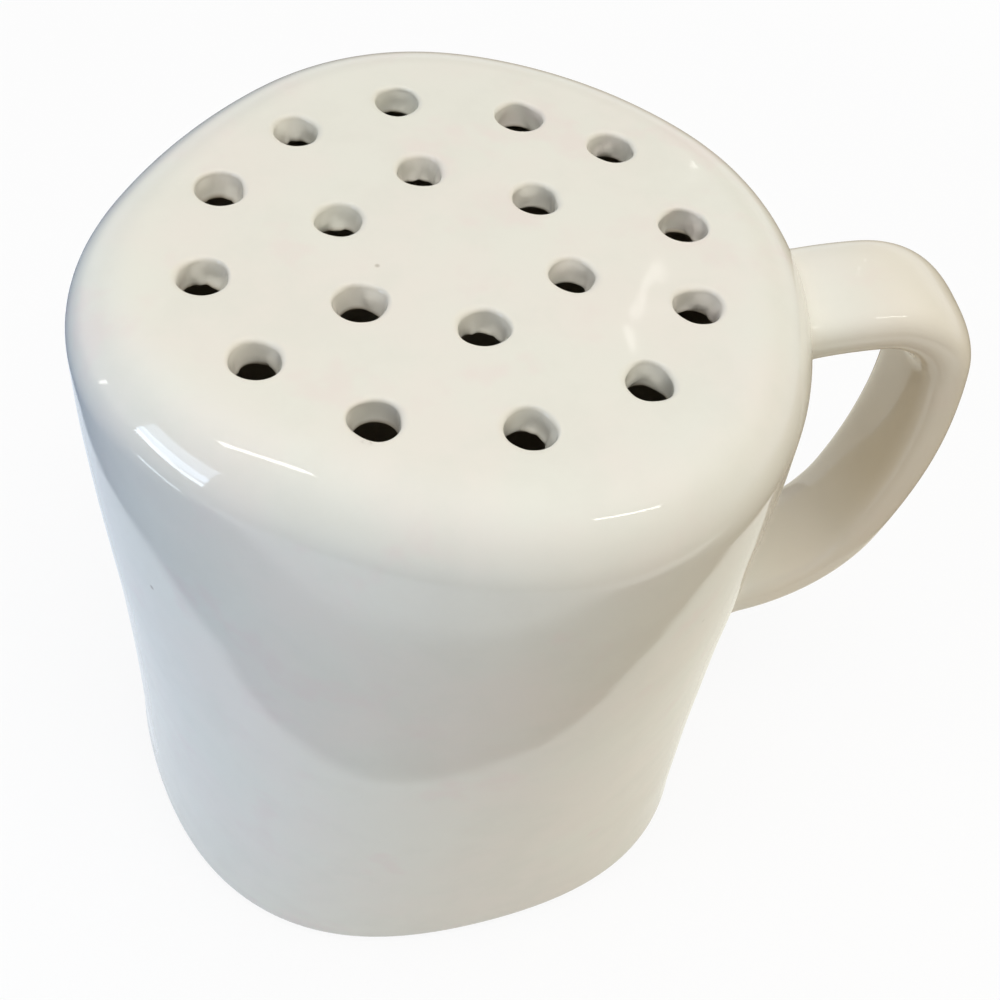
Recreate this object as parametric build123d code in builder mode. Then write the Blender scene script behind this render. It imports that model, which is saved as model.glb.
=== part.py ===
from build123d import *
from math import cos, radians, sin, sqrt
import os

# A ceramic shaker for grated cheese: a slip-cast pot with a perforated top, a strap handle luted on its
# wall, and a soft stopper in the fill hole under the base.
# Millimetres, +Z up, the handle along +X, the origin at the centre of the foot on the table.

# Pot: mean outside radius at four even levels from the foot to the top
BODY_HEIGHT = 101.0
FOOT_RADIUS = 44.6
LOWER_WALL_RADIUS = 44.5
UPPER_WALL_RADIUS = 45.0
TOP_RADIUS = 43.6
WALL_THICKNESS = 4.2
TOP_THICKNESS = 3.8
FLOOR_THICKNESS = 4.5
SHOULDER_RADIUS = 9.0
CAVITY_CORNER_RADIUS = 4.0

# Hand-formed unevenness of the outline: number of lobes, swell, direction of the first lobe in degrees
FOOT_LOBES = ((2, 0.7, 32), (3, 1.0, 61), (4, 1.7, 57))
TOP_LOBES = ((2, 0.25, 151), (3, 1.35, 68), (4, 1.0, 18))
OUTLINE_POINTS = 16

# Foot ring, with the recess inside it that keeps the stopper off the table
FOOT_WIDTH = 6.5
FOOT_EDGE_RADIUS = 2.0
RECESS_DEPTH = 3.6
RECESS_CORNER_RADIUS = 1.2
FILL_HOLE_RADIUS = 19.0
FILL_HOLE_EDGE_RADIUS = 0.8

# Pour holes, punched by hand in two rings: direction in degrees, stray outwards from the ring
POUR_HOLE_RADIUS = 2.7
POUR_LIP_RADIUS = 0.8
RING_CENTRE = (-1.0, -0.5)
OUTER_RING_RADIUS = 28.7
OUTER_RING_HOLES = (
    (8, 0.1), (40, 0.7), (65, -0.9), (98, 0), (127, -0.3), (156, 0.3),
    (-173, 0.6), (-145, 0.2), (-114, -0.5), (-81, -0.3), (-49, 0), (-20, 0.2),
)
INNER_RING_RADIUS = 14.1
INNER_RING_HOLES = ((39, 0.3), (99, 0.7), (156, 0), (-144, 0.2), (-83, -1.2), (-19, 0))

# Strap handle: its middle line leaves the wall, bends over the crook, runs down the grip and comes back
# to the wall level round the heel
STRAP_WIDTH = 16.8
STRAP_THICKNESS = 8.2
STRAP_EDGE_RADIUS = 3.3
ROOT_START = 34.0
UPPER_ROOT_HEIGHT = 90.2
UPPER_RUN = 19.6
UPPER_RUN_RISE = 5.0
CROOK_RADIUS = 10.9
CROOK_TURN = 83.5
GRIP_RADIUS = 72.0
GRIP_TURN = 27.0
HEEL_RADIUS = 24.0
ROOT_FLARE = 1.8
ROOT_FLARE_LENGTH = 4.0
ROOT_FLARE_STEPS = 4
FLARE_SINK = 0.1  # share of the flare by which its last section lies inside the strap, so that it dies away

# Stopper: sharp sealing ribs, at the size they are squeezed to in the fill hole
RIB_CLEARANCE = 0.12
RIB_HEIGHT = 0.8
RIB_COUNT = 2
FLANGE_OVERLAP = 4.5
FLANGE_THICKNESS = 2.0
FLANGE_EDGE_RADIUS = 0.7
PLUG_WALL = 2.6
PLUG_WEB = 2.4
NOSE_HEIGHT = 4.0
NOSE_EDGE_RADIUS = 1.2
TAB_LENGTH = 20.0
TAB_THICKNESS = 3.2
TAB_BEAD_HEIGHT = 2.4
TAB_BEAD_OVERHANG = 0.9

LEVEL_RADII = (FOOT_RADIUS, LOWER_WALL_RADIUS, UPPER_WALL_RADIUS, TOP_RADIUS)
TOP_LEVEL = len(LEVEL_RADII) - 1
FLOOR_TOP = RECESS_DEPTH + FLOOR_THICKNESS
CEILING = BODY_HEIGHT - TOP_THICKNESS


def swell(lobes, angle):
    """How far a set of lobes pushes the outline out at an angle in degrees."""
    return sum(size * cos(radians(count * (angle - direction))) for count, size, direction in lobes)


def outline(level, inset):
    """Points round the pot at one of its levels, moved in from the outside by the inset."""
    rise = level / TOP_LEVEL
    foot_share = (1 - rise) * (1 - 2 * rise)
    top_share = rise * (2 * rise - 1)
    points = []
    for step in range(OUTLINE_POINTS):
        angle = 360 * step / OUTLINE_POINTS
        uneven = foot_share * swell(FOOT_LOBES, angle) + top_share * swell(TOP_LOBES, angle)
        radius = LEVEL_RADII[level] + uneven - inset
        points.append((radius * cos(radians(angle)), radius * sin(radians(angle))))
    return points


def pot_form(inset):
    """The pot's shape as a solid, lofted through its uneven outlines."""
    with BuildPart() as form:
        for level in range(TOP_LEVEL + 1):
            with BuildSketch(Plane.XY.offset(BODY_HEIGHT * level / TOP_LEVEL)):
                with BuildLine():
                    Spline(*outline(level, inset), periodic=True)
                make_face()
        loft()
    return form.part


def hole_centres(ring_radius, holes):
    """Centres of one ring of hand-punched holes."""
    return [
        (
            RING_CENTRE[0] + (ring_radius + stray) * cos(radians(direction)),
            RING_CENTRE[1] + (ring_radius + stray) * sin(radians(direction)),
        )
        for direction, stray in holes
    ]


# Outside of the pot, whole: the shell is cut from it, and the handle's roots are trimmed by it
with BuildPart() as outside:
    add(pot_form(0))
    fillet(outside.faces().sort_by(Axis.Z)[-1].edges(), SHOULDER_RADIUS)
    fillet(outside.faces().sort_by(Axis.Z)[0].edges(), FOOT_EDGE_RADIUS)

# Space inside the pot
with BuildPart() as cavity:
    add(pot_form(WALL_THICKNESS))
    split(bisect_by=Plane.XY.offset(CEILING), keep=Keep.BOTTOM)
    split(bisect_by=Plane.XY.offset(FLOOR_TOP), keep=Keep.TOP)
    fillet(cavity.faces().sort_by(Axis.Z)[-1].edges(), SHOULDER_RADIUS - WALL_THICKNESS)
    fillet(cavity.faces().sort_by(Axis.Z)[0].edges(), CAVITY_CORNER_RADIUS)

# Shell: wall, shoulder, perforated top, floor and foot ring in one casting
with BuildPart() as shaker_body:
    add(outside.part)
    add(cavity.part, mode=Mode.SUBTRACT)
    with BuildSketch(Plane.XY):
        with BuildLine():
            Spline(*outline(0, FOOT_WIDTH), periodic=True)
        make_face()
    extrude(amount=RECESS_DEPTH, mode=Mode.SUBTRACT)
    recess_ceiling = shaker_body.faces().filter_by(Plane.XY).group_by(Axis.Z)[1]
    fillet(recess_ceiling.edges(), RECESS_CORNER_RADIUS)
    with BuildSketch(Plane.XY):
        Circle(FILL_HOLE_RADIUS)
    extrude(amount=FLOOR_TOP, mode=Mode.SUBTRACT)
    fill_hole = shaker_body.faces().filter_by(GeomType.CYLINDER)
    fillet(fill_hole.edges().filter_by(GeomType.CIRCLE), FILL_HOLE_EDGE_RADIUS)
    with BuildSketch(Plane.XY.offset(BODY_HEIGHT)):
        with Locations(
            *hole_centres(OUTER_RING_RADIUS, OUTER_RING_HOLES),
            *hole_centres(INNER_RING_RADIUS, INNER_RING_HOLES),
        ):
            Circle(POUR_HOLE_RADIUS)
    extrude(amount=-2 * TOP_THICKNESS, mode=Mode.SUBTRACT)
    pour_lips = shaker_body.faces().sort_by(Axis.Z)[-1].inner_wires().edges()
    fillet(pour_lips, POUR_LIP_RADIUS)

# Handle: a rounded strap swept along straight runs and tangent arcs, with a wiped flare at each root, trimmed
# where it meets the wall
with BuildPart() as handle:
    with BuildLine(Plane.XZ) as strap_line:
        upper_run = PolarLine((ROOT_START, UPPER_ROOT_HEIGHT), UPPER_RUN, UPPER_RUN_RISE)
        crook = JernArc(upper_run @ 1, upper_run % 1, CROOK_RADIUS, -CROOK_TURN)
        grip = JernArc(crook @ 1, crook % 1, GRIP_RADIUS, -GRIP_TURN)
        heel = JernArc(grip @ 1, grip % 1, HEEL_RADIUS, CROOK_TURN + GRIP_TURN - UPPER_RUN_RISE - 180)
        Line(heel @ 1, (ROOT_START, (heel @ 1).Z))
    with BuildSketch(Plane(upper_run @ 0, x_dir=(0, 1, 0), z_dir=upper_run % 0)):
        RectangleRounded(STRAP_WIDTH, STRAP_THICKNESS, STRAP_EDGE_RADIUS)
    sweep()
    strap = strap_line.wire()
    wall_along = UPPER_WALL_RADIUS - ROOT_START
    for from_end in (False, True):
        for step in range(-1, ROOT_FLARE_STEPS + 1):
            out = ROOT_FLARE_LENGTH * step / ROOT_FLARE_STEPS
            along = strap.length - wall_along - out if from_end else wall_along + out
            grow = ROOT_FLARE * (min(1, 1 - step / ROOT_FLARE_STEPS) ** 2 - FLARE_SINK)
            place = strap.position_at(along, position_mode=PositionMode.LENGTH)
            heading = strap.tangent_at(along, position_mode=PositionMode.LENGTH)
            with BuildSketch(Plane(place, x_dir=(0, 1, 0), z_dir=heading)):
                RectangleRounded(STRAP_WIDTH + 2 * grow, STRAP_THICKNESS + 2 * grow, STRAP_EDGE_RADIUS + grow)
        loft()
    add(outside.part, mode=Mode.SUBTRACT)

# Stopper: flange, ribbed plug and hollow underside turned about the axis, with a pull tab inside the hollow
FLANGE_BOTTOM = RECESS_DEPTH - FLANGE_THICKNESS
PLUG_RADIUS = FILL_HOLE_RADIUS - RIB_CLEARANCE - RIB_HEIGHT
HOLLOW_RADIUS = PLUG_RADIUS - PLUG_WALL
PLUG_TOP = FLOOR_TOP + NOSE_HEIGHT
HOLLOW_TOP = PLUG_TOP - PLUG_WEB
with BuildPart() as stopper:
    with BuildSketch(Plane.XZ):
        with BuildLine():
            Polyline(
                (0, HOLLOW_TOP),
                (HOLLOW_RADIUS, HOLLOW_TOP),
                (HOLLOW_RADIUS, FLANGE_BOTTOM),
                (FILL_HOLE_RADIUS + FLANGE_OVERLAP, FLANGE_BOTTOM),
                (FILL_HOLE_RADIUS + FLANGE_OVERLAP, RECESS_DEPTH),
                (PLUG_RADIUS, RECESS_DEPTH),
                (PLUG_RADIUS, PLUG_TOP),
                (0, PLUG_TOP),
                close=True,
            )
        make_face()
        for rib in range(1, RIB_COUNT + 1):
            with Locations((PLUG_RADIUS, RECESS_DEPTH + FLOOR_THICKNESS * rib / (RIB_COUNT + 1))):
                Rectangle(RIB_HEIGHT * sqrt(2), RIB_HEIGHT * sqrt(2), rotation=45)
    revolve(axis=Axis.Z)
    fillet(stopper.faces().sort_by(Axis.Z)[-1].edges(), NOSE_EDGE_RADIUS)
    flange_rim = stopper.faces().filter_by(GeomType.CYLINDER).sort_by(SortBy.RADIUS)[-1]
    fillet(flange_rim.edges().filter_by(GeomType.CIRCLE).sort_by(Axis.Z)[0], FLANGE_EDGE_RADIUS)
    with BuildSketch(Plane.XY.offset(HOLLOW_TOP)):
        SlotOverall(TAB_LENGTH, TAB_THICKNESS)
    extrude(amount=FLANGE_BOTTOM - HOLLOW_TOP)
    with BuildSketch(Plane.XY.offset(FLANGE_BOTTOM)):
        SlotOverall(TAB_LENGTH + 2 * TAB_BEAD_OVERHANG, TAB_THICKNESS + 2 * TAB_BEAD_OVERHANG)
    extrude(amount=TAB_BEAD_HEIGHT)

os.makedirs("parts", exist_ok=True)
shaker_body.part.label = "shaker_body"
export_step(shaker_body.part, "parts/shaker_body.step")
handle.part.label = "handle"
export_step(handle.part, "parts/handle.step")
stopper.part.label = "stopper"
export_step(stopper.part, "parts/stopper.step")
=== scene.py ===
"""A ceramic shaker for grated cheese: a glazed pot with a perforated top, a strap handle and a soft stopper.

Metres, in the frame of the solids: +Z up, the handle along +X, the origin under the middle of the foot.
Sizes below are in millimetres and are multiplied by MM where a mesh or a node takes them.
"""
import math

import bpy
from mathutils import Matrix, Vector


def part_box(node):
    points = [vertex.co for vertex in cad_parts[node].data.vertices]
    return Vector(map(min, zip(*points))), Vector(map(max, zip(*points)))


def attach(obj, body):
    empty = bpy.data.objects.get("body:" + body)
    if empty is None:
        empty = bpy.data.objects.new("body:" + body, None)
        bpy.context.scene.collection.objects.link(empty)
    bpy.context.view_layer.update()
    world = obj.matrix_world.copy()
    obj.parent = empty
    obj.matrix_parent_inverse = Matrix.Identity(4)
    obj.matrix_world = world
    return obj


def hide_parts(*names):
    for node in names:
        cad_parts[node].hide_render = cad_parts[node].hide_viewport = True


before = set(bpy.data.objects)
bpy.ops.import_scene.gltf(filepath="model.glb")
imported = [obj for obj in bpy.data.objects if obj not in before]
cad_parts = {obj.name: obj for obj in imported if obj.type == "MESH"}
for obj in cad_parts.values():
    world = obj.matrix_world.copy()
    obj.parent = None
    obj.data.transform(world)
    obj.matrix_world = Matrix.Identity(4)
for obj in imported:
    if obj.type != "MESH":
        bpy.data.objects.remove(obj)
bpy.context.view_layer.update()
scene = bpy.context.scene

MM = 0.001

# Pot: mean outside radius at four even levels from the foot to the top
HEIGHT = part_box("shaker_body")[1].z / MM
LEVEL_RADII = (44.6, 44.5, 45.0, 43.6)
WALL = 4.2
TOP_THICKNESS = 3.8
FLOOR_THICKNESS = 4.5
SHOULDER_RADIUS = 9.0
CAVITY_CORNER = 4.0
FOOT_WIDTH = 6.5
FOOT_EDGE = 2.0
FOOT_INNER_EDGE = 0.8
RECESS_DEPTH = 3.6
RECESS_CORNER = 1.2
FILL_HOLE_RADIUS = 19.0
FILL_HOLE_EDGE = 0.8
CEILING = HEIGHT - TOP_THICKNESS
FLOOR_TOP = RECESS_DEPTH + FLOOR_THICKNESS
AROUND = 224
INSIDE_STEPS = 24
OUTSIDE_STEPS = 48
PROFILE_GUARD = 0.3  # from a corner to the point beside it that keeps the arc there crisp

# Hand-formed unevenness: number of lobes, swell, direction of the first lobe in degrees
FOOT_LOBES = ((2, 0.7, 32), (3, 1.0, 61), (4, 1.7, 57))
TOP_LOBES = ((2, 0.25, 151), (3, 1.35, 68), (4, 1.0, 18))
LOBES_FADE = (22.0, 33.0)
RIPPLE_SIZE = 38.0
RIPPLE_DEPTH = 1.0
RIPPLE_FADE = (2.0, 16.0)

# Pour holes, punched by hand in two rings: direction in degrees, stray outwards from the ring
HOLE_RADIUS = 2.85
HOLE_LOW_RADIUS = 2.5
HOLE_LIP = 0.65
HOLE_LOWER_EDGE = 0.5
HOLE_GUARD = 0.2
HOLE_AROUND = 48
HOLE_UNEVEN = 0.9
HOLE_SIZES = 11.0  # size of the noise that makes whole holes wider or narrower
HOLE_SHAPES = 3.2  # size of the noise that bends their outlines
HOLE_BURR = 0.7
DRIP_SIZE = 2.6
DRIP_RANGE = (0.48, 0.72)
SEAL_DISTANCE = 0.01
RING_CENTRE = (-1.0, -0.5)
HOLE_RINGS = (
    (28.7, ((8, 0.1), (40, 0.7), (65, -0.9), (98, 0), (127, -0.3), (156, 0.3),
            (-173, 0.6), (-145, 0.2), (-114, -0.5), (-81, -0.3), (-49, 0), (-20, 0.2))),
    (14.1, ((39, 0.3), (99, 0.7), (156, 0), (-144, 0.2), (-83, -1.2), (-19, 0))),
)

# Strap handle: runs and bends of its middle line, from the upper root round to the lower one
STRAP_WIDTH = 16.8
STRAP_THICKNESS = 8.2
STRAP_SQUARENESS = 2.7
ROOT_START = 34.0
ROOT_SUNK = 42.6
UPPER_ROOT_HEIGHT = 90.2
UPPER_RUN = 19.6
UPPER_RUN_RISE = 5.0
CROOK = (10.9, 83.5)
GRIP = (72.0, 27.0)
HEEL_RADIUS = 24.0
STRAP_STEP = 0.25
STRAP_AROUND = 72
UPPER_FLARE = (0.4, 2.0)
LOWER_FLARE = (1.6, 6.0)
FLARE_CHANGE = (0.7, 0.5)  # shares of the pot's height between which the lower flare takes over
ARCH_DROP = 1.0
STRAP_SHADE_SIDE = (0.0, 0.9)  # from the middle of the section to its inner side, which painted shade browns

# Stopper
RIB_CLEARANCE = 0.12
RIB_HEIGHT = 0.8
RIB_COUNT = 2
RIB_TIP_RADIUS = 0.25
RIB_ROOT_REACH = 0.15
RIB_ROOT_RISE = 0.06
RIB_ROOT_SINK = 0.05
FLANGE_OVERLAP = 4.5
FLANGE_THICKNESS = 2.0
FLANGE_EDGE = 0.7
FLANGE_TOP_EDGE = 0.2
PLUG_WALL = 2.6
PLUG_WEB = 2.4
NOSE_HEIGHT = 4.0
NOSE_EDGE = 1.2
HOLLOW_EDGE = 0.5
HOLLOW_CORNER = 1.0
TAB_LENGTH = 20.0
TAB_THICKNESS = 3.2
TAB_BEAD_HEIGHT = 2.4
TAB_BEAD_OVERHANG = 0.9
TAB_SUNK = 0.6
TAB_ROOT_FILLET = 0.6
TAB_ROOT_MIDDLE = 0.25
TAB_FACE_EDGE = 0.03
TAB_FACE_INSET = 0.5
TAB_BEAD_STEPS = 10
TAB_END_STEPS = 12
STOPPER_AROUND = 128

# Glaze: its colours, then the sizes of its drifts and marks
GLAZE_GREEN = (0.785, 0.778, 0.69, 1)
GLAZE_PINK = (0.8, 0.765, 0.685, 1)
GLAZE_CLOUD = (0.755, 0.745, 0.66, 1)
GLAZE_BLUSH = (0.79, 0.725, 0.66, 1)
GLAZE_WARM_TONE_AND_LIGHT = (0.785, 0.725, 0.605, 1)
GLAZE_STRAP_SHADE = (0.7, 0.625, 0.48, 1)
GLAZE_THIN = (0.72, 0.66, 0.55, 1)
GLAZE_SPECK = (0.3, 0.24, 0.17, 1)
GLAZE_CAVITY_SHADE = (0.4, 0.34, 0.25, 1)
CLAY_DARK = (0.62, 0.55, 0.44, 1)
CLAY_PALE = (0.74, 0.68, 0.58, 1)
DRIFT_SIZE = 17.0
CLOUD_SIZE = 9.0
BLUSH_SIZE = 11.0
SPECK_SPACING = 9.0
SPECK_EDGE = (0.055, 0.02)
SPECK_CHANCE = 0.7
GLOSS_SIZE = 6.0
SWELLS = ((13.0, 0.08), (6.0, 0.035))  # size and depth
PEEL = (1.4, 0.003)
GRAIN = (0.25, 0.06)
SPECK_DEPTH = 0.02
WARM_TONE_AND_LIGHT_FROM = (46.0, 56.0)  # along X, from the pot to the handle, over which the colour warms: partly the glaze's tone, partly painted warm light
STRAP_SHADE_FROM = (45.0, 65.0)  # heights over which the painted shade inside the strap comes in
CAVITY_SHADE_FROM = 2.8  # depth under the skin where the painted shade of the inside starts
CAVITY_SHADE_FADE = 0.6
BARE_UNDER = (0.5, 0.2)  # heights, from glaze to bare clay
BARE_ROUGHNESS = 0.85

# Silicone
SILICONE_DARK = (0.72, 0.72, 0.69, 1)
SILICONE_PALE = (0.8, 0.79, 0.75, 1)
SILICONE_DUST = (0.9, 0.89, 0.86, 1)
HAZE_SIZE = 6.0
DUST_SIZE = 0.6
DUST_RANGE = (0.62, 0.72)
SATIN_SIZE = 0.35
SATIN_DEPTH = 0.05
SOFT_DEPTH = 1.5

# Camera: the top's centre lies at this pixel of the 1000 pixel square image, at this depth
IMAGE_SIZE = 1000
FOCAL_PIXELS = 1400
TOP_PIXEL = (463, 247)
TOP_DEPTH = 163.84
VIEW_AZIMUTH = -15.96
VIEW_ELEVATION = 50.8
VIEW_ROLL = 9.78
SENSOR = 36.0


class Value:
    """An output socket of a node tree. Arithmetic on values adds Math nodes to the tree."""

    def __init__(self, graph, socket):
        self.graph = graph
        self.socket = socket

    def math(self, operation, *others):
        return self.graph.add("ShaderNodeMath", {"operation": operation}, [self, *others])

    def reflected(self, operation, other):
        return self.graph.add("ShaderNodeMath", {"operation": operation}, [other, self])

    def __add__(self, other):
        return self.math("ADD", other)

    def __sub__(self, other):
        return self.math("SUBTRACT", other)

    def __mul__(self, other):
        return self.math("MULTIPLY", other)

    def __truediv__(self, other):
        return self.math("DIVIDE", other)

    def __pow__(self, other):
        return self.math("POWER", other)

    def __lt__(self, other):
        return self.math("LESS_THAN", other)

    def __gt__(self, other):
        return self.math("GREATER_THAN", other)

    def __radd__(self, other):
        return self.reflected("ADD", other)

    def __rsub__(self, other):
        return self.reflected("SUBTRACT", other)

    def __rmul__(self, other):
        return self.reflected("MULTIPLY", other)


class Graph:
    """A node tree that is written as expressions."""

    def __init__(self, tree):
        self.tree = tree

    def add(self, kind, settings=None, sockets=(), output=0):
        """Adds a node: its settings first, then the values or links of its sockets."""
        node = self.tree.nodes.new(kind)
        for name, setting in (settings or {}).items():
            setattr(node, name, setting)
        pairs = sockets.items() if isinstance(sockets, dict) else enumerate(sockets)
        for key, given in pairs:
            for one in given if isinstance(given, list) else [given]:
                if isinstance(one, Value):
                    self.tree.links.new(one.socket, node.inputs[key])
                else:
                    node.inputs[key].default_value = one
        return Value(self, node.outputs[output] if node.outputs else None)

    def split(self, vector):
        parts = self.add("ShaderNodeSeparateXYZ", {}, [vector])
        return [Value(self, socket) for socket in parts.socket.node.outputs]

    def vector(self, operation, *sockets):
        return self.add("ShaderNodeVectorMath", {"operation": operation}, sockets)

    def scaled(self, vector, factor):
        return self.add("ShaderNodeVectorMath", {"operation": "SCALE"}, {0: vector, 3: factor})

    def ramp(self, value, low, high):
        """A smooth step from 0 to 1 while the value goes from low to high."""
        return self.add("ShaderNodeMapRange", {"interpolation_type": "SMOOTHSTEP"}, [value, low, high])

    def colour_mix(self, factor, first, second):
        return self.add("ShaderNodeMix", {"data_type": "RGBA"}, {0: factor, 6: first, 7: second}, 2)

    def noise(self, place, size, detail=2.0, roughness=0.5, output=0):
        """Noise whose features are about this size, in millimetres."""
        sockets = {"Vector": place, "Scale": 1 / (size * MM), "Detail": detail, "Roughness": roughness}
        return self.add("ShaderNodeTexNoise", {}, sockets, output)


def blank_tree(owner):
    """The emptied node tree of a material or a world."""
    owner.use_nodes = True
    owner.node_tree.nodes.clear()
    return Graph(owner.node_tree)


def cosine(angle):
    """Cosine of a number or of a socket's value."""
    return angle.math("COSINE") if isinstance(angle, Value) else math.cos(angle)


def swell(lobes, angle):
    """How far a set of lobes pushes the outline out at an angle in radians."""
    total = 0
    for count, size, direction in lobes:
        total = total + size * cosine((angle - math.radians(direction)) * count)
    return total


def mean_radius(rise):
    """Radius of the pot before its lobes, on the cubic through its four levels."""
    step = rise * (len(LEVEL_RADII) - 1)
    first, second, third, fourth = LEVEL_RADII
    return (
        (1 - step) * (2 - step) * (3 - step) * (first / 6)
        + step * (2 - step) * (3 - step) * (second / 2)
        + step * (step - 1) * (3 - step) * (third / 2)
        + step * (step - 1) * (step - 2) * (fourth / 6)
    )


def uneven_radius(rise, angle):
    """What the lobes add to the radius: the foot's die away upwards and the top's downwards."""
    foot_share = (1 - rise) * (1 - rise * 2)
    top_share = rise * (rise * 2 - 1)
    return foot_share * swell(FOOT_LOBES, angle) + top_share * swell(TOP_LOBES, angle)


def wall_radius(z):
    """Mean outside radius at a height in millimetres."""
    return mean_radius(z / HEIGHT)


def skin_gap(x, y, z):
    """How far a place in a node tree lies outside the pot's wall and shoulder: below zero inside them."""
    rise = z / (HEIGHT * MM)
    core = (mean_radius(rise) + uneven_radius(rise, y.math("ARCTAN2", x)) - SHOULDER_RADIUS) * MM
    beyond = ((x * x + y * y) ** 0.5 - core).math("MAXIMUM", 0.0)
    above = (z - (HEIGHT - SHOULDER_RADIUS) * MM).math("MAXIMUM", 0.0)
    return (beyond * beyond + above * above) ** 0.5 - SHOULDER_RADIUS * MM


def arc(centre, radius, start, end, steps):
    """Points of a profile's arc, angles in degrees from straight out towards straight up."""
    angles = [math.radians(start + (end - start) * step / steps) for step in range(steps + 1)]
    return [(centre[0] + radius * math.cos(a), centre[1] + radius * math.sin(a)) for a in angles]


def straight(start, end, steps, guard=PROFILE_GUARD):
    """Points of a profile between two corners, with a guard point close to each so that arcs stay crisp."""
    length = math.dist(start, end)
    shares = [(guard + (length - 2 * guard) * step / steps) / length for step in range(steps + 1)]
    return [(start[0] + (end[0] - start[0]) * s, start[1] + (end[1] - start[1]) * s) for s in shares]


def mesh_object(name, points, faces, edges=()):
    """A new object with a mesh of points in millimetres."""
    mesh = bpy.data.meshes.new(name)
    mesh.from_pydata([Vector(point) * MM for point in points], edges, faces)
    mesh.update()
    made = bpy.data.objects.new(name, mesh)
    scene.collection.objects.link(made)
    return made


def turned(name, profile, around):
    """A profile of (radius, height) points turned about the Z axis. A point on the axis closes the shape."""
    points = []
    rings = []
    for radius, z in profile:
        ring = []
        for step in range(around if radius > 0 else 1):
            angle = 2 * math.pi * step / around
            ring.append(len(points))
            points.append((radius * math.cos(angle), radius * math.sin(angle), z))
        rings.append(ring)
    faces = []
    for low, high in zip(rings, rings[1:]):
        for step in range(around):
            after = (step + 1) % around
            corners = [low[step % len(low)], low[after % len(low)]]
            corners += [high[after % len(high)], high[step % len(high)]]
            faces.append(list(dict.fromkeys(corners)))
    return mesh_object(name, points, faces)


def grown(name, base, material, sizes, build):
    """A piece that a Geometry Nodes tree makes from a base mesh. build(graph, geometry, given) wires the
    tree, with given holding the tree's named inputs."""
    tree = bpy.data.node_groups.new(name + "_tree", "GeometryNodeTree")
    kinds = {float: "NodeSocketFloat", bpy.types.Object: "NodeSocketObject",
             bpy.types.Material: "NodeSocketMaterial"}
    inputs = {"Material": material, **sizes}
    tree.interface.new_socket("Geometry", in_out="INPUT", socket_type="NodeSocketGeometry")
    sockets = {}
    for label, value in inputs.items():
        sockets[label] = tree.interface.new_socket(label, in_out="INPUT", socket_type=kinds[type(value)])
    tree.interface.new_socket("Geometry", in_out="OUTPUT", socket_type="NodeSocketGeometry")
    graph = Graph(tree)
    entry = tree.nodes.new("NodeGroupInput")
    given = {label: Value(graph, entry.outputs[label]) for label in inputs}
    made = build(graph, Value(graph, entry.outputs["Geometry"]), given)
    smooth = graph.add("GeometryNodeSetShadeSmooth", {}, [made])
    whole = graph.add("GeometryNodeRealizeInstances", {}, [smooth])
    dressed = graph.add("GeometryNodeSetMaterial", {}, {"Geometry": whole, "Material": given["Material"]})
    graph.add("NodeGroupOutput", {}, [dressed])
    modifier = base.modifiers.new(name, "NODES")
    modifier.node_group = tree
    for label, value in inputs.items():
        modifier[sockets[label].identifier] = value
    depsgraph = bpy.context.evaluated_depsgraph_get()
    mesh = bpy.data.meshes.new_from_object(
        base.evaluated_get(depsgraph), preserve_all_data_layers=True, depsgraph=depsgraph)
    base.modifiers.remove(modifier)
    bpy.data.objects.remove(base)
    piece = bpy.data.objects.new(name, mesh)
    mesh.name = name
    scene.collection.objects.link(piece)
    return piece


def rippled(graph, geometry, given):
    """The soft unevenness of a hand-finished casting: walls wander a little, except close to the foot."""
    place = graph.add("GeometryNodeInputPosition")
    height = graph.split(place)[2]
    wander = graph.noise(place, RIPPLE_SIZE, 1.0, 0.4, "Color")
    centred = graph.vector("SUBTRACT", wander, (0.5, 0.5, 0.5))
    fade = graph.ramp(height, RIPPLE_FADE[0] * MM, RIPPLE_FADE[1] * MM)
    offset = graph.scaled(centred, fade * given["Ripple depth"])
    return graph.add("GeometryNodeSetPosition", {}, {"Geometry": geometry, "Offset": offset})


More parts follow.
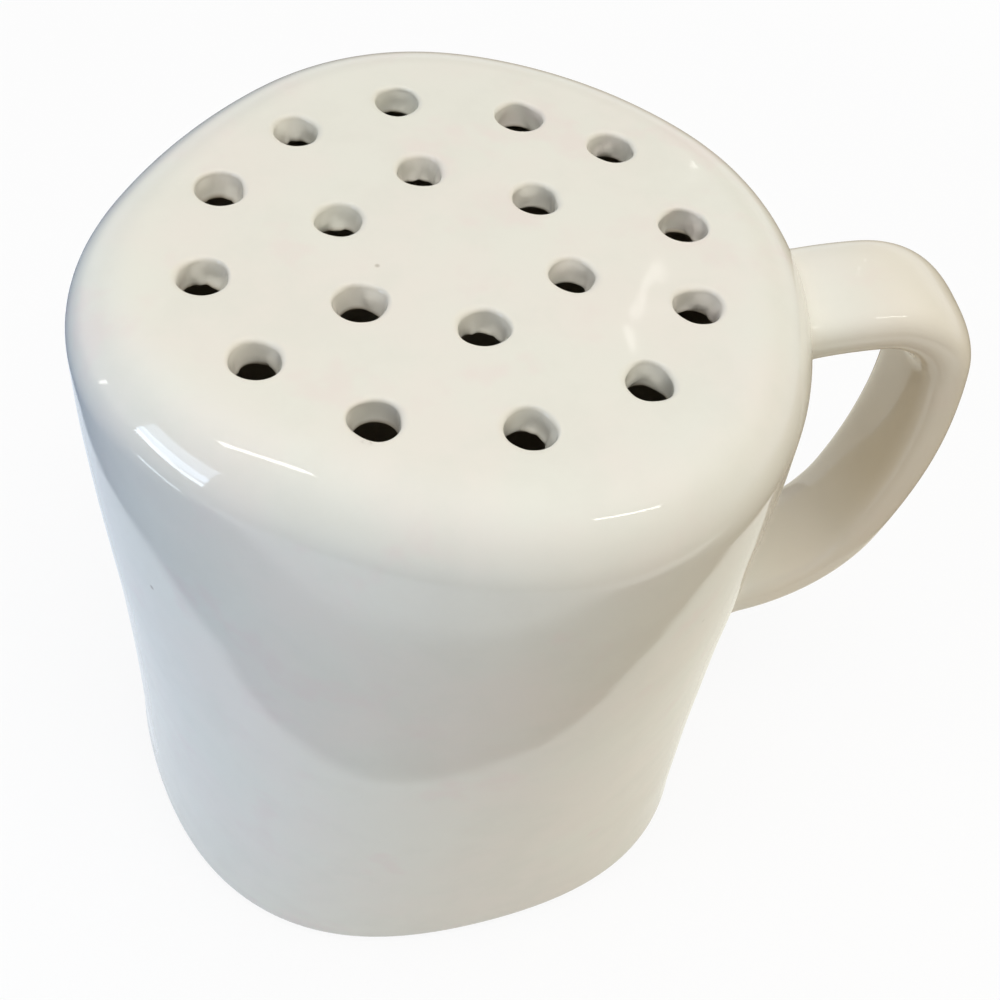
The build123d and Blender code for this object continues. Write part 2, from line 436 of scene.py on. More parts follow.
def pot_profile():
    """The pot's section from the rim of its ceiling, round the inside and the base, to the rim of its top."""
    inner_corner = SHOULDER_RADIUS - WALL
    inner_top = wall_radius(CEILING) - WALL - inner_corner
    inner_low = wall_radius(FLOOR_TOP) - WALL - CAVITY_CORNER
    foot = wall_radius(0)
    foot_inside = foot - FOOT_WIDTH
    wall_low = FLOOR_TOP + CAVITY_CORNER
    wall_high = CEILING - inner_corner
    shoulder_start = HEIGHT - SHOULDER_RADIUS
    lean = math.degrees(math.atan(wall_radius(shoulder_start) - wall_radius(shoulder_start + 1)))
    wall_end = shoulder_start + SHOULDER_RADIUS * math.sin(math.radians(lean))
    shoulder_centre = wall_radius(wall_end) - SHOULDER_RADIUS * math.cos(math.radians(lean))
    profile = [(inner_top - PROFILE_GUARD, CEILING)]
    profile += arc((inner_top, wall_high), inner_corner, 90, 0, 8)
    for step in range(1, INSIDE_STEPS):
        z = wall_high + (wall_low - wall_high) * step / INSIDE_STEPS
        profile.append((wall_radius(z) - WALL, z))
    profile += arc((inner_low, wall_low), CAVITY_CORNER, 0, -90, 7)
    profile += straight((inner_low, FLOOR_TOP), (FILL_HOLE_RADIUS + FILL_HOLE_EDGE, FLOOR_TOP), 6)
    hole_side = FILL_HOLE_RADIUS + FILL_HOLE_EDGE
    profile += arc((hole_side, FLOOR_TOP - FILL_HOLE_EDGE), FILL_HOLE_EDGE, 90, 180, 5)
    profile += straight((FILL_HOLE_RADIUS, FLOOR_TOP - FILL_HOLE_EDGE),
                        (FILL_HOLE_RADIUS, RECESS_DEPTH + FILL_HOLE_EDGE), 2)
    profile += arc((hole_side, RECESS_DEPTH + FILL_HOLE_EDGE), FILL_HOLE_EDGE, 180, 270, 5)
    recess_side = foot_inside - RECESS_CORNER
    profile += straight((hole_side, RECESS_DEPTH), (recess_side, RECESS_DEPTH), 5)
    profile += arc((recess_side, RECESS_DEPTH - RECESS_CORNER), RECESS_CORNER, 90, 0, 5)
    profile += straight((foot_inside, RECESS_DEPTH - RECESS_CORNER), (foot_inside, FOOT_INNER_EDGE), 1)
    profile += arc((foot_inside + FOOT_INNER_EDGE, FOOT_INNER_EDGE), FOOT_INNER_EDGE, 180, 270, 5)
    profile += straight((foot_inside + FOOT_INNER_EDGE, 0), (foot - FOOT_EDGE, 0), 2)
    profile += arc((foot - FOOT_EDGE, FOOT_EDGE), FOOT_EDGE, -90, 0, 8)
    for step in range(1, OUTSIDE_STEPS):
        z = FOOT_EDGE + (wall_end - FOOT_EDGE) * step / OUTSIDE_STEPS
        profile.append((wall_radius(z), z))
    profile += arc((shoulder_centre, shoulder_start), SHOULDER_RADIUS, lean, 90, 18)
    profile.append((shoulder_centre - PROFILE_GUARD, HEIGHT))
    return profile


def hole_collar():
    """The wall of one pour hole, from a flat guard ring round its lip to one under its lower edge.
    It keeps, for each point, the way out from the hole's axis, how free it is to wander, and how far it is
    down towards the lower edge where glaze gathers."""
    lip_side = HOLE_RADIUS + HOLE_LIP
    low_side = HOLE_LOW_RADIUS + HOLE_LOWER_EDGE
    profile = [(lip_side + HOLE_GUARD, HEIGHT)]
    profile += arc((lip_side, HEIGHT - HOLE_LIP), HOLE_LIP, 90, 180, 7)
    profile += straight((HOLE_RADIUS, HEIGHT - HOLE_LIP),
                        (HOLE_LOW_RADIUS, CEILING + HOLE_LOWER_EDGE), 4, HOLE_GUARD)
    profile += arc((low_side, CEILING + HOLE_LOWER_EDGE), HOLE_LOWER_EDGE, 180, 270, 5)
    profile.append((low_side + HOLE_GUARD, CEILING))
    collar = turned("hole_collar", profile, HOLE_AROUND)
    mesh = collar.data
    mesh.attributes.new("way_out", "FLOAT_VECTOR", "POINT")
    labels = ("free", "low", "thin_glaze")
    for label in labels:
        mesh.attributes.new(label, "FLOAT", "POINT")
    for vertex in mesh.vertices:
        sideways = Vector((vertex.co.x, vertex.co.y, 0))
        radius = sideways.length / MM
        z = vertex.co.z / MM
        kept = {label: mesh.attributes[label].data[vertex.index] for label in labels}
        mesh.attributes["way_out"].data[vertex.index].vector = sideways.normalized()
        from_lip = (lip_side - radius) / HOLE_LIP
        from_edge = (z - CEILING) / HOLE_LOWER_EDGE
        kept["free"].value = max(0.0, min(1.0, from_lip, from_edge))
        kept["low"].value = max(0.0, 1 - (z - CEILING) / (TOP_THICKNESS - HOLE_LIP))
        kept["thin_glaze"].value = max(0.0, 1 - abs(HEIGHT - HOLE_LIP / 2 - z) / HOLE_LIP)
    return collar


def hole_places():
    """A point for each pour hole, on the plane of the table."""
    points = []
    for ring_radius, holes in HOLE_RINGS:
        for direction, stray in holes:
            angle = math.radians(direction)
            reach = ring_radius + stray
            x = RING_CENTRE[0] + reach * math.cos(angle)
            y = RING_CENTRE[1] + reach * math.sin(angle)
            points.append((x, y, 0))
    return mesh_object("hole_places", points, [])


def shell_nodes(graph, base, given):
    """Lobes push the turned pot out of round, the top and the ceiling are filled round the pour holes, and a
    collar in each hole joins the two."""
    place = graph.add("GeometryNodeInputPosition")
    x, y, z = graph.split(place)
    angle = y.math("ARCTAN2", x)
    reach = (x * x + y * y) ** 0.5
    rise = z / (HEIGHT * MM)
    fade = graph.ramp(reach, LOBES_FADE[0] * MM, LOBES_FADE[1] * MM)
    push = uneven_radius(rise, angle) * fade * MM
    offset = graph.add("ShaderNodeCombineXYZ", {}, [push * cosine(angle), push * angle.math("SINE"), 0.0])
    form = graph.add("GeometryNodeSetPosition", {}, {"Geometry": base, "Offset": offset})
    rim = graph.add("GeometryNodeInputMeshEdgeNeighbors") < 1.5
    over = z > (HEIGHT + CEILING) / 2 * MM
    places = graph.add("GeometryNodeObjectInfo", {}, {"Object": given["Hole places"]}, "Geometry")

    def plate(side, radius, level):
        edge = graph.add("GeometryNodeMeshToCurve", {}, {"Mesh": form, "Selection": rim * side})
        circle = {"Resolution": HOLE_AROUND, "Radius": radius}
        ring = graph.add("GeometryNodeCurvePrimitiveCircle", {}, circle)
        rings = graph.add("GeometryNodeInstanceOnPoints", {}, {"Points": places, "Instance": ring})
        curves = graph.add("GeometryNodeRealizeInstances", {}, [rings])
        together = graph.add("GeometryNodeJoinGeometry", {}, {"Geometry": [edge, curves]})
        filled = graph.add("GeometryNodeFillCurve", {"mode": "TRIANGLES"}, [together])
        return graph.add("GeometryNodeTransform", {}, {"Geometry": filled, "Translation": (0, 0, level * MM)})

    top = plate(over, (HOLE_RADIUS + HOLE_LIP + HOLE_GUARD) * MM, HEIGHT)
    ceiling = plate(1 - over, (HOLE_LOW_RADIUS + HOLE_LOWER_EDGE + HOLE_GUARD) * MM, CEILING)
    ceiling = graph.add("GeometryNodeFlipFaces", {}, [ceiling])
    collar = graph.add("GeometryNodeObjectInfo", {}, {"Object": given["Hole collar"]}, "Geometry")
    collars = graph.add("GeometryNodeInstanceOnPoints", {}, {"Points": places, "Instance": collar})
    collars = graph.add("GeometryNodeRealizeInstances", {}, [collars])
    vector_kind = {"data_type": "FLOAT_VECTOR"}
    way_out = graph.add("GeometryNodeInputNamedAttribute", vector_kind, {"Name": "way_out"})
    free = graph.add("GeometryNodeInputNamedAttribute", {}, {"Name": "free"})
    low = graph.add("GeometryNodeInputNamedAttribute", {}, {"Name": "low"})
    sizes = (graph.noise(place, HOLE_SIZES, 0.0) - 0.5) * given["Hole unevenness"]
    shape = (graph.noise(place, HOLE_SHAPES, 0.0) - 0.5) * given["Hole unevenness"]
    drips = graph.ramp(graph.noise(place, DRIP_SIZE, 1.0), *DRIP_RANGE) * low * given["Hole burr"]
    move = graph.scaled(way_out, (sizes + shape - drips) * free)
    collars = graph.add("GeometryNodeSetPosition", {}, {"Geometry": collars, "Offset": move})
    joined = graph.add("GeometryNodeJoinGeometry", {}, {"Geometry": [form, top, ceiling, collars]})
    seal = {"Geometry": joined, "Distance": SEAL_DISTANCE * MM}
    sealed = graph.add("GeometryNodeMergeByDistance", {}, seal)
    return rippled(graph, sealed, given)


def strap_line():
    """Points of the handle's middle line: a run out of the wall, three tangent bends and a run back."""
    points = []
    heading = math.radians(UPPER_RUN_RISE)
    out = Vector((ROOT_SUNK, 0, UPPER_ROOT_HEIGHT + (ROOT_SUNK - ROOT_START) * math.tan(heading)))
    way = Vector((math.cos(heading), 0, math.sin(heading)))
    end = Vector((ROOT_START, 0, UPPER_ROOT_HEIGHT)) + UPPER_RUN * way

    def run(start, finish, drop=0.0):
        steps = round((finish - start).length / STRAP_STEP)
        for step in range(steps):
            sag = Vector((0, 0, drop * (1 - step / steps) ** 2))
            points.append(start.lerp(finish, step / steps) - sag)

    def bend(start, radius, degrees):
        nonlocal heading
        turn = math.radians(degrees)
        middle = start + radius * Vector((math.sin(heading), 0, -math.cos(heading)))
        steps = round(radius * turn / STRAP_STEP)
        for step in range(steps):
            angle = heading - turn * step / steps
            points.append(middle + radius * Vector((-math.sin(angle), 0, math.cos(angle))))
        heading -= turn
        return middle + radius * Vector((-math.sin(heading), 0, math.cos(heading)))

    run(out, end, ARCH_DROP)
    end = bend(end, *CROOK)
    end = bend(end, *GRIP)
    end = bend(end, HEEL_RADIUS, 180 + math.degrees(heading))
    root = Vector((ROOT_SUNK, 0, end.z))
    run(end, root)
    points.append(root)
    edges = [(index, index + 1) for index in range(len(points) - 1)]
    return mesh_object("strap_line", points, [], edges)


def strap_nodes(graph, base, given):
    """A strap with a squared oval section, swept along its line, which flares where it meets the pot."""
    line = graph.add("GeometryNodeMeshToCurve", {}, [base])
    place = graph.add("GeometryNodeInputPosition")
    x, y, z = graph.split(place)
    squarer = 2 / STRAP_SQUARENESS
    half_width = x.math("SIGN") * x.math("ABSOLUTE") ** squarer * given["Strap width"] * 0.5
    half_thick = y.math("SIGN") * y.math("ABSOLUTE") ** squarer * given["Strap thickness"] * 0.5
    outline = graph.add("ShaderNodeCombineXYZ", {}, [half_width, half_thick, 0.0])
    ring = graph.add("GeometryNodeCurvePrimitiveCircle", {}, {"Resolution": STRAP_AROUND, "Radius": 1.0})
    # painted shade: marks the inner side of the strap, which the glaze browns
    strap_shade_store = {"Geometry": ring, "Name": "pooled_glaze", "Value": graph.ramp(y, *STRAP_SHADE_SIDE)}
    ring = graph.add("GeometryNodeStoreNamedAttribute", {"data_type": "FLOAT", "domain": "POINT"}, strap_shade_store)
    section = graph.add("GeometryNodeSetPosition", {}, {"Geometry": ring, "Position": outline})
    sweep = {"Curve": line, "Profile Curve": section, "Fill Caps": True}
    strap = graph.add("GeometryNodeCurveToMesh", {}, sweep)
    lower = graph.ramp(z, *[share * HEIGHT * MM for share in FLARE_CHANGE])
    flare = given["Upper flare"] + (given["Lower flare"] - given["Upper flare"]) * lower
    length = given["Upper flare length"] + (given["Lower flare length"] - given["Upper flare length"]) * lower
    near = 1 - (skin_gap(x, y, z) / length).math("MAXIMUM", 0.0).math("MINIMUM", 1.0)
    spread = near * near * flare
    offset = graph.scaled(graph.add("GeometryNodeInputNormal"), spread)
    flared = graph.add("GeometryNodeSetPosition", {}, {"Geometry": strap, "Offset": offset})
    return rippled(graph, flared, given)


def glaze():
    """Glossy cream glaze: faint pink and green drifts, pinholes and specks, thinner on the lips of the holes
    and wiped off the foot ring down to the fired clay. Painted into its colour: a warmer handle, partly its
    own tone and partly painted warm light, painted shade browning the inside of the strap, and painted shade
    inside the pot."""
    material = bpy.data.materials.new("cream_glaze")
    graph = blank_tree(material)
    place = graph.add("ShaderNodeTexCoord", {}, (), "Object")
    x, y, height = graph.split(place)
    drift = graph.ramp(graph.noise(place, DRIFT_SIZE, 3.0), 0.36, 0.66)
    aside = graph.vector("ADD", place, (0.3, 0.1, 0.2))
    cloud = graph.ramp(graph.noise(aside, CLOUD_SIZE, 4.0, 0.6), 0.42, 0.7)
    aside = graph.vector("ADD", place, (0.7, 0.5, 0.4))
    blush = graph.ramp(graph.noise(aside, BLUSH_SIZE, 3.0, 0.6), 0.55, 0.72)
    # warmer towards the handle: partly the glaze's own tone, partly painted warm light
    warm = graph.ramp(x, *[along * MM for along in WARM_TONE_AND_LIGHT_FROM])
    # painted shade: browner on the inner side of the strap, growing upwards from the lower root
    strap_shade = graph.add("ShaderNodeAttribute", {"attribute_name": "pooled_glaze"}, (), "Fac")
    strap_shade = strap_shade * graph.ramp(height, *[level * MM for level in STRAP_SHADE_FROM])
    thin = graph.add("ShaderNodeAttribute", {"attribute_name": "thin_glaze"}, (), "Fac")
    cells = {"Vector": place, "Scale": 1 / (SPECK_SPACING * MM)}
    spot = graph.add("ShaderNodeTexVoronoi", {}, cells, "Distance")
    chance = graph.split(graph.add("ShaderNodeTexVoronoi", {}, cells, "Color"))[0]
    speck = graph.ramp(spot, *SPECK_EDGE) * (chance > SPECK_CHANCE)
    # painted shade: dark brown inside the pot and down the lower walls of the pour holes
    inside = graph.ramp(skin_gap(x, y, height), -CAVITY_SHADE_FROM * MM, -TOP_THICKNESS * MM)
    inside = inside * graph.ramp(height, (FLOOR_TOP - CAVITY_SHADE_FADE) * MM, FLOOR_TOP * MM)
    bare = graph.ramp(height, *[level * MM for level in BARE_UNDER])
    colour = graph.colour_mix(drift, GLAZE_GREEN, GLAZE_PINK)
    for share, tint in ((cloud * 0.6, GLAZE_CLOUD), (blush * 0.8, GLAZE_BLUSH), (warm * 0.7, GLAZE_WARM_TONE_AND_LIGHT),
                        (strap_shade, GLAZE_STRAP_SHADE), (thin * 0.2, GLAZE_THIN), (speck * 0.55, GLAZE_SPECK),
                        (inside, GLAZE_CAVITY_SHADE)):
        colour = graph.colour_mix(share, colour, tint)
    clay = graph.colour_mix(graph.noise(place, 0.7, 3.0), CLAY_DARK, CLAY_PALE)
    colour = graph.colour_mix(bare, colour, clay)
    gloss = 0.03 + 0.035 * graph.noise(place, GLOSS_SIZE, 3.0) + 0.04 * thin
    roughness = gloss + (BARE_ROUGHNESS - gloss) * bare
    wide, narrow = [graph.noise(place, size, 1.0) * depth for size, depth in SWELLS]
    peel = graph.noise(place, PEEL[0], 1.0) * PEEL[1]
    grain = graph.noise(place, GRAIN[0], 2.0) * bare * GRAIN[1]
    relief = wide + narrow + peel + grain - speck * SPECK_DEPTH
    bump = graph.add("ShaderNodeBump", {}, {"Strength": 1.0, "Distance": MM, "Height": relief})
    shader = graph.add("ShaderNodeBsdfPrincipled", {},
                       {"Base Color": colour, "Roughness": roughness, "IOR": 1.58, "Normal": bump})
    graph.add("ShaderNodeOutputMaterial", {}, [shader])
    return material


def silicone():
    """Soft milky silicone: satin, faintly clouded, with moulding haze and a little dust."""
    material = bpy.data.materials.new("milky_silicone")
    graph = blank_tree(material)
    place = graph.add("ShaderNodeTexCoord", {}, (), "Object")
    haze = graph.noise(place, HAZE_SIZE, 3.0)
    dust = graph.ramp(graph.noise(place, DUST_SIZE, 2.0), *DUST_RANGE)
    colour = graph.colour_mix(haze, SILICONE_DARK, SILICONE_PALE)
    colour = graph.colour_mix(dust * 0.25, colour, SILICONE_DUST)
    satin = {"Strength": 0.25, "Distance": SATIN_DEPTH * MM, "Height": graph.noise(place, SATIN_SIZE)}
    bump = graph.add("ShaderNodeBump", {}, satin)
    shader = graph.add("ShaderNodeBsdfPrincipled", {}, {
        "Base Color": colour, "Roughness": 0.38 + 0.16 * haze, "IOR": 1.41, "Normal": bump,
        "Subsurface Weight": 0.3, "Subsurface Radius": (1.0, 0.95, 0.85), "Subsurface Scale": SOFT_DEPTH * MM,
    })
    graph.add("ShaderNodeOutputMaterial", {}, [shader])
    return material


def stopper_profile():
    """The stopper's section from the middle of its hollow, round flange and ribs, to that of its nose."""
    flange_bottom = RECESS_DEPTH - FLANGE_THICKNESS
    plug = FILL_HOLE_RADIUS - RIB_CLEARANCE - RIB_HEIGHT
    hollow = plug - PLUG_WALL
    plug_top = FLOOR_TOP + NOSE_HEIGHT
    hollow_top = plug_top - PLUG_WEB
    flange = FILL_HOLE_RADIUS + FLANGE_OVERLAP
    profile = [(0, hollow_top)]
    profile += straight((0, hollow_top), (hollow - HOLLOW_CORNER, hollow_top), 4)
    profile += arc((hollow - HOLLOW_CORNER, hollow_top - HOLLOW_CORNER), HOLLOW_CORNER, 90, 0, 5)
    profile += straight((hollow, hollow_top - HOLLOW_CORNER), (hollow, flange_bottom + HOLLOW_EDGE), 2)
    profile += arc((hollow + HOLLOW_EDGE, flange_bottom + HOLLOW_EDGE), HOLLOW_EDGE, 180, 270, 4)
    profile += straight((hollow + HOLLOW_EDGE, flange_bottom), (flange - FLANGE_EDGE, flange_bottom), 3)
    profile += arc((flange - FLANGE_EDGE, flange_bottom + FLANGE_EDGE), FLANGE_EDGE, -90, 0, 5)
    edge = FLANGE_TOP_EDGE
    profile += straight((flange, flange_bottom + FLANGE_EDGE), (flange, RECESS_DEPTH - edge), 1, edge / 2)
    profile += arc((flange - edge, RECESS_DEPTH - edge), edge, 0, 90, 3)
    profile += straight((flange - edge, RECESS_DEPTH), (plug, RECESS_DEPTH), 3)
    for rib in range(1, RIB_COUNT + 1):
        middle = RECESS_DEPTH + FLOOR_THICKNESS * rib / (RIB_COUNT + 1)
        profile.append((plug, middle - RIB_HEIGHT - RIB_ROOT_REACH))
        profile.append((plug + RIB_ROOT_RISE, middle - RIB_HEIGHT + RIB_ROOT_SINK))
        profile += arc((plug + RIB_HEIGHT - RIB_TIP_RADIUS, middle), RIB_TIP_RADIUS, -45, 45, 4)
        profile.append((plug + RIB_ROOT_RISE, middle + RIB_HEIGHT - RIB_ROOT_SINK))
        profile.append((plug, middle + RIB_HEIGHT + RIB_ROOT_REACH))
    profile += straight((plug, FLOOR_TOP), (plug, plug_top - NOSE_EDGE), 2)
    profile += arc((plug - NOSE_EDGE, plug_top - NOSE_EDGE), NOSE_EDGE, 0, 90, 6)
    profile += straight((plug - NOSE_EDGE, plug_top), (0, plug_top), 4)
    profile.append((0, plug_top))
    return profile


def pull_tab():
    """The stopper's pull tab: a slot-shaped web with a rounded bead along its free edge."""
    flange_bottom = RECESS_DEPTH - FLANGE_THICKNESS
    hollow_top = FLOOR_TOP + NOSE_HEIGHT - PLUG_WEB
    bead = TAB_BEAD_OVERHANG
    bead_top = flange_bottom + TAB_BEAD_HEIGHT
    half = TAB_BEAD_HEIGHT / 2
    fillet = TAB_ROOT_FILLET
    levels = [(hollow_top + TAB_SUNK, fillet), (hollow_top, fillet)]
    levels += [(hollow_top - TAB_ROOT_MIDDLE, TAB_ROOT_MIDDLE), (hollow_top - fillet, 0.0)]
    levels.append((bead_top + PROFILE_GUARD, 0.0))
    for step in range(1, TAB_BEAD_STEPS):
        angle = math.pi * step / TAB_BEAD_STEPS
        levels.append((flange_bottom + half + half * math.cos(angle), bead * math.sin(angle)))
    levels += [(flange_bottom + TAB_FACE_EDGE, 0.0), (flange_bottom, -TAB_FACE_INSET)]
    points = []
    rings = []
    for z, grow in levels:
        radius = TAB_THICKNESS / 2 + grow
        reach = (TAB_LENGTH - TAB_THICKNESS) / 2
        ring = []
        for side in (1, -1):
            for step in range(TAB_END_STEPS + 1):
                angle = math.radians(-90 + 180 * step / TAB_END_STEPS) + (0 if side > 0 else math.pi)
                ring.append(len(points))
                points.append((side * reach + radius * math.cos(angle), radius * math.sin(angle), z))
        rings.append(ring)
    faces = [list(rings[0]), list(reversed(rings[-1]))]
    for high, low in zip(rings, rings[1:]):
        for step in range(len(high)):
            after = (step + 1) % len(high)
            faces.append([low[step], low[after], high[after], high[step]])
    return mesh_object("pull_tab", points, faces)


def soft_stopper(material):
    """Plug and tab made one skin."""
    plug = turned("silicone_stopper", stopper_profile(), STOPPER_AROUND)
    tab = pull_tab()
    union = plug.modifiers.new("tab", "BOOLEAN")
    union.operation = "UNION"
    union.solver = "EXACT"
    union.object = tab
    depsgraph = bpy.context.evaluated_depsgraph_get()
    mesh = bpy.data.meshes.new_from_object(plug.evaluated_get(depsgraph))
    plug.modifiers.remove(union)
    bpy.data.objects.remove(tab)
    plug.data = mesh
    mesh.name = plug.name
    for polygon in mesh.polygons:
        polygon.use_smooth = True
    mesh.materials.clear()
    mesh.materials.append(material)
    return plug


cream_glaze = glaze()
places = hole_places()
collar = hole_collar()
shell = grown("shaker_shell", turned("pot_form", pot_profile(), AROUND), cream_glaze, {
    "Hole places": places,
    "Hole collar": collar,
    "Hole unevenness": HOLE_UNEVEN * MM,
    "Hole burr": HOLE_BURR * MM,
    "Ripple depth": RIPPLE_DEPTH * MM,
}, shell_nodes)
for helper in (places, collar):
    bpy.data.objects.remove(helper)
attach(shell, "pot")
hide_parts("shaker_body")

strap = grown("strap_handle", strap_line(), cream_glaze, {
    "Strap width": STRAP_WIDTH * MM,
    "Strap thickness": STRAP_THICKNESS * MM,
    "Upper flare": UPPER_FLARE[0] * MM,
    "Upper flare length": UPPER_FLARE[1] * MM,
    "Lower flare": LOWER_FLARE[0] * MM,
    "Lower flare length": LOWER_FLARE[1] * MM,
    "Ripple depth": RIPPLE_DEPTH * MM,
}, strap_nodes)
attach(strap, "pot")
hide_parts("handle")

stopper = soft_stopper(silicone())
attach(stopper, "stopper")
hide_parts("stopper")

# Stage: pale floor, white to the camera. The pot stands on a white sheet, and the glaze mirrors a dimmer room
# beyond it. An opening under the foot lets the stopper be drawn down, and from below the floor is clear
FLOOR_REACH = 3000.0
FLOOR_LEVEL = -0.02
OPENING_INSET = 3.0
OPENING_AROUND = 96
SHEET_LEFT = 96.0
SHEET_RIGHT = 106.0
SHEET_FRONT = 72.0
SHEET_BACK = 140.0
SHEET_BLUR = 0.03
SHEET_COOL = (0.76, 0.84, 0.96, 1)
SHEET_WARM = (0.9, 0.88, 0.77, 1)
ROOM_COOL = (0.12, 0.17, 0.27, 1)
ROOM_WARM = (0.28, 0.23, 0.15, 1)
HORIZON = (0.6, 0.61, 0.62, 1)
HORIZON_START = 250.0
HORIZON_FULL = 1500.0
FRONT_DIM = (-0.6, 0.1)
WARM_ACROSS = (-1.2, 0.8)
BAND_NEAR = (1.5, 1.75)
BAND_FAR = (2.6, 2.1)
BAND_FRONT = (-1.0, -1.5)
WHITE = (1, 1, 1, 1)
PAPER_COOL = (0.25, 0.32, 0.46, 1)
PAPER_WARM = (0.51, 0.43, 0.33, 1)
PAPER_SEEN = (0.8, 0.8, 0.8, 1)
SHADOW_SHARE = 0.12
SHADOW_FADE = (400.0, 200.0)


def floor_sheet():
    """A wide ring whose inner edge follows the foot."""
    points = []
    for step in range(OPENING_AROUND):
        angle = 2 * math.pi * step / OPENING_AROUND
        for reach in (wall_radius(0) + uneven_radius(0, angle) - OPENING_INSET, FLOOR_REACH):
            points.append((reach * math.cos(angle), reach * math.sin(angle), FLOOR_LEVEL))
    count = len(points)
    faces = [(near, near + 1, (near + 3) % count, (near + 2) % count) for near in range(0, count, 2)]
    return mesh_object("floor", points, faces)


floor = floor_sheet()
pale = bpy.data.materials.new("pale_floor")
graph = blank_tree(pale)
ray = graph.add("ShaderNodeLightPath").socket.node
seen, mirrored, through = [Value(graph, ray.outputs[name])
                           for name in ("Is Camera Ray", "Is Glossy Ray", "Is Transmission Ray")]
x, y = graph.split(graph.add("ShaderNodeTexCoord", {}, (), "Object"))[:2]
reach = (x * x + y * y) ** 0.5
across = x.math("MINIMUM", 0.0) / (SHEET_LEFT * MM) + x.math("MAXIMUM", 0.0) / (SHEET_RIGHT * MM)
along = y.math("MINIMUM", 0.0) / (SHEET_FRONT * MM) + y.math("MAXIMUM", 0.0) / (SHEET_BACK * MM)
distance = (across ** 2 + along ** 2) ** 0.5
warmth = graph.ramp(across, *WARM_ACROSS)
sheet = graph.colour_mix(warmth, SHEET_COOL, SHEET_WARM)
room = graph.colour_mix(warmth, ROOM_COOL, ROOM_WARM)
band = graph.ramp(distance, *BAND_NEAR) * graph.ramp(distance, *BAND_FAR) * graph.ramp(along, *BAND_FRONT)
room = graph.colour_mix(band, room, sheet)
far = graph.ramp(reach, HORIZON_START * MM, HORIZON_FULL * MM) * graph.ramp(y / reach, *FRONT_DIM)
room = graph.colour_mix(far, room, HORIZON)
ground = graph.colour_mix(graph.ramp(distance, 1 - SHEET_BLUR, 1 + SHEET_BLUR), sheet, room)
ground = graph.colour_mix(seen, ground, WHITE)
tinted = graph.colour_mix(warmth, PAPER_COOL, PAPER_WARM)
paper = graph.add("ShaderNodeBsdfDiffuse", {}, {"Color": graph.colour_mix(seen, tinted, PAPER_SEEN)})
bright = graph.add("ShaderNodeEmission", {}, {"Color": ground, "Strength": 1.0})
shadow = SHADOW_SHARE * graph.ramp(reach, SHADOW_FADE[0] * MM, SHADOW_FADE[1] * MM)
share = (seen * (1 - shadow) + mirrored + through).math("MINIMUM", 1.0)
lit = graph.add("ShaderNodeMixShader", {}, [share, paper, bright])
clear = graph.add("ShaderNodeBsdfTransparent")
under = graph.add("ShaderNodeNewGeometry", {}, (), "Backfacing") * seen
graph.add("ShaderNodeOutputMaterial", {}, [graph.add("ShaderNodeMixShader", {}, [under, lit, clear])])
floor.data.materials.append(pale)

# World: white to the camera. To everything else it is a soft room, cool on the left, warm on the right and
# dim in front, with an even light from below that only reaches what the floor's opening shows
COOL = (0.5, 0.63, 1.0, 1)
WARM = (1.0, 0.86, 0.62, 1)
BELOW = (0.8, 0.8, 0.8, 1)
ROOM_LIGHT = 0.21
CEILING_LIGHT = 0.6
BACK_SHADE = 0.5
TINT_ACROSS = (-0.8, 0.8)
CEILING_RISE = (0.3, 1.0)
BACK_DEPTH = (-0.1, 0.7)
HORIZON_RISE = (0.45, 0.05)
BELOW_RISE = (-0.05, -0.3)
world = bpy.data.worlds.new("studio")
scene.world = world
graph = blank_tree(world)
seen = graph.add("ShaderNodeLightPath")
sideways, depth, rise = graph.split(graph.add("ShaderNodeTexCoord", {}, (), "Generated"))
overhead = graph.ramp(rise, *CEILING_RISE)
tint = graph.colour_mix(graph.ramp(sideways, *TINT_ACROSS), COOL, WARM)
tint = graph.colour_mix(overhead, tint, WHITE)
behind = graph.ramp(depth, *BACK_DEPTH)
strength = (ROOM_LIGHT + overhead * CEILING_LIGHT) * (1 - behind * BACK_SHADE)
level = graph.ramp(rise, *HORIZON_RISE) * graph.ramp(depth, *FRONT_DIM)
soft = graph.colour_mix(level, graph.scaled(tint, strength), HORIZON)
soft = graph.colour_mix(graph.ramp(rise, *BELOW_RISE), soft, BELOW)
sky = graph.add("ShaderNodeBackground", {}, {"Color": graph.colour_mix(seen, soft, WHITE), "Strength": 1.0})
graph.add("ShaderNodeOutputWorld", {}, [sky])


def towards(azimuth, elevation):
    """The direction that lies at these angles in degrees, from +X round and up."""
    turn = math.radians(azimuth)
    rise = math.radians(elevation)
    return Vector((math.cos(rise) * math.cos(turn), math.cos(rise) * math.sin(turn), math.sin(rise)))


def lamp(name, start, end, distance, width, watts, colour, mirrored=True):
    """A rectangular lamp that stretches from one direction to another, as (azimuth, elevation) from the
    middle of the pot's top, at a distance in millimetres."""
    first, last = [towards(*angles) * distance * MM for angles in (start, end)]
    light = bpy.data.lights.new(name, "AREA")
    light.shape = "RECTANGLE"
    light.size = (last - first).length
    light.size_y = width * MM
    light.energy = watts
    light.color = colour
    stand = bpy.data.objects.new(name, light)
    scene.collection.objects.link(stand)
    middle = (first + last) / 2
    along = (last - first).normalized()
    back = middle.normalized()
    turned_to = Matrix((along, back.cross(along), back)).transposed().to_4x4()
    stand.matrix_world = Matrix.Translation(middle + Vector((0, 0, HEIGHT * MM))) @ turned_to
    stand.visible_camera = False
    stand.visible_glossy = mirrored


CREAM_LIGHT = (1, 0.98, 0.94)
CARD_LIGHT = (1, 0.96, 0.88)
STRIP_LIGHT = (1, 0.96, 0.9)
WINDOW_LIGHT = (0.66, 0.8, 1)

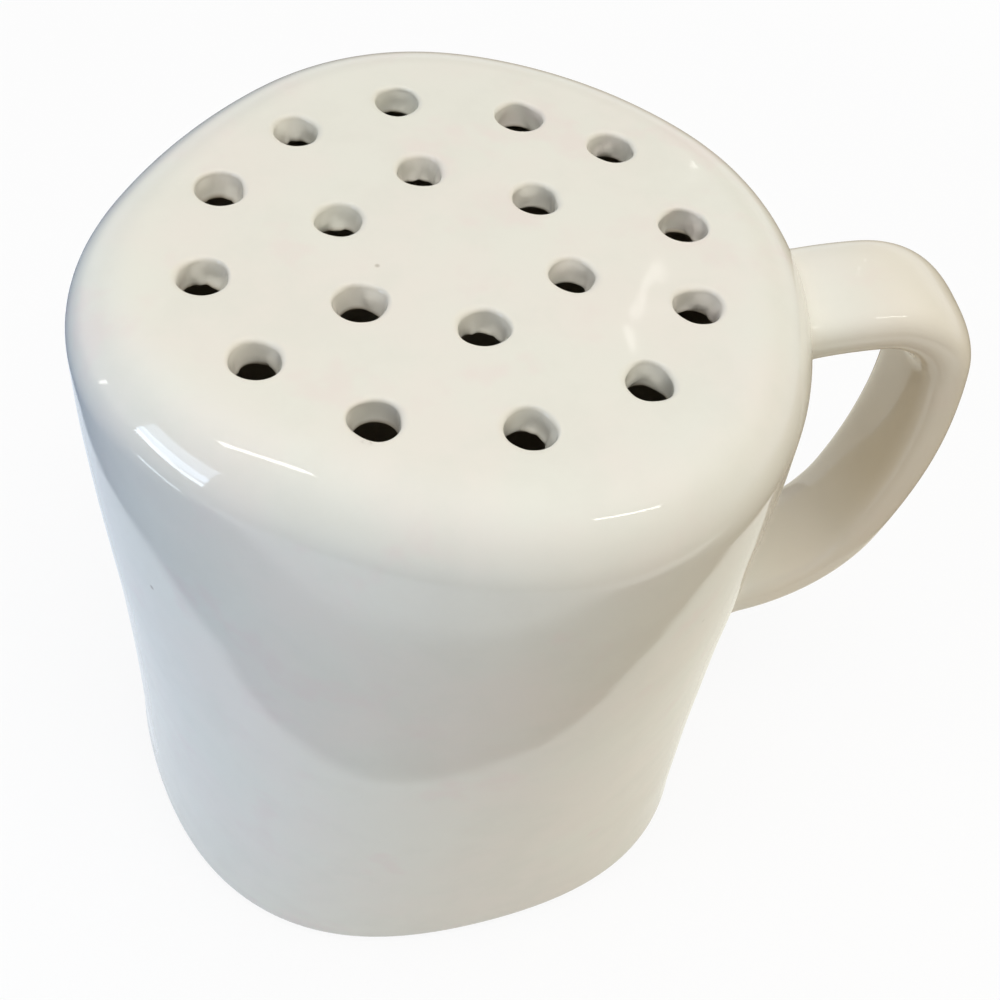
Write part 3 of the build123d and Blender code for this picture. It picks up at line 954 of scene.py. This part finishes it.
# Soft fills that the glaze does not mirror
lamp("key", (-80, 54), (-80, 96), 900, 500, 3.5, CREAM_LIGHT, False)
lamp("cool_fill", (100, 26), (100, 56), 900, 400, 0.75, (0.84, 0.9, 1), False)
lamp("back_fill", (10, 14), (112, 14), 900, 400, 0.8, (1, 0.98, 0.96), False)
lamp("warm_fill", (-18, 38), (18, 38), 900, 500, 0.4, (1, 0.88, 0.66), False)
lamp("low_fill", (-68, 18), (-32, 18), 900, 300, 0.5, (1, 0.95, 0.82), False)
lamp("front_card", (-118, -26), (-82, -26), 190, 30, 0.011, CARD_LIGHT, False)
lamp("right_card", (-66, -26), (-30, -26), 190, 30, 0.01, CARD_LIGHT, False)

# What the glaze mirrors: a window on the left, brightest along its sill, and narrow ceiling lights
lamp("window_sill", (-171.5, -2.5), (-149.5, -8), 340, 26, 0.08, (0.78, 0.88, 1))
lamp("window_low", (-171, 2.5), (-148.5, -1), 340, 45, 0.115, WINDOW_LIGHT)
lamp("window_high", (-170, 11), (-147.5, 9), 340, 75, 0.09, WINDOW_LIGHT)
lamp("window_sheen", (-170, -25), (-157, -29), 180, 8, 0.003, (0.8, 0.9, 1))
lamp("left_strip", (-162.8, 46.3), (-148.7, 60.7), 920, 48, 0.34, CREAM_LIGHT)
lamp("right_strip", (-54.3, 59.2), (-31.2, 47.6), 920, 30, 0.22, STRIP_LIGHT)
lamp("far_spot", (64.5, 34.4), (64.5, 36.0), 910, 7, 0.0016, CREAM_LIGHT)
lamp("middle_spot", (65, 39.7), (65, 41.1), 910, 7, 0.0013, CREAM_LIGHT)
lamp("near_spot", (65.2, 42.3), (65.2, 43.3), 910, 7, 0.0011, CREAM_LIGHT)
lamp("side_strip", (168, -4), (170, 6), 930, 20, 0.05, STRIP_LIGHT)

# Camera at the photograph's viewing angle
azimuth, elevation, roll = [math.radians(angle) for angle in (VIEW_AZIMUTH, VIEW_ELEVATION, VIEW_ROLL)]
level = Vector((math.cos(azimuth), math.sin(azimuth), 0))
flat = math.cos(elevation)
ahead = Vector((-math.sin(azimuth) * flat, math.cos(azimuth) * flat, -math.sin(elevation)))
upright = level.cross(ahead)
right = math.cos(roll) * level + math.sin(roll) * upright
up = math.cos(roll) * upright - math.sin(roll) * level
across, down = [(pixel - IMAGE_SIZE / 2) / FOCAL_PIXELS for pixel in TOP_PIXEL]
eye = Vector((0, 0, HEIGHT)) - TOP_DEPTH * (ahead + across * right - down * up)
camera = bpy.data.cameras.new("camera")
camera.sensor_width = SENSOR
camera.lens = SENSOR * FOCAL_PIXELS / IMAGE_SIZE
camera.clip_start = 0.001
viewer = bpy.data.objects.new("camera", camera)
scene.collection.objects.link(viewer)
viewer.matrix_world = Matrix.Translation(eye * MM) @ Matrix((right, up, -ahead)).transposed().to_4x4()
scene.camera = viewer
scene.view_settings.view_transform = "Standard"
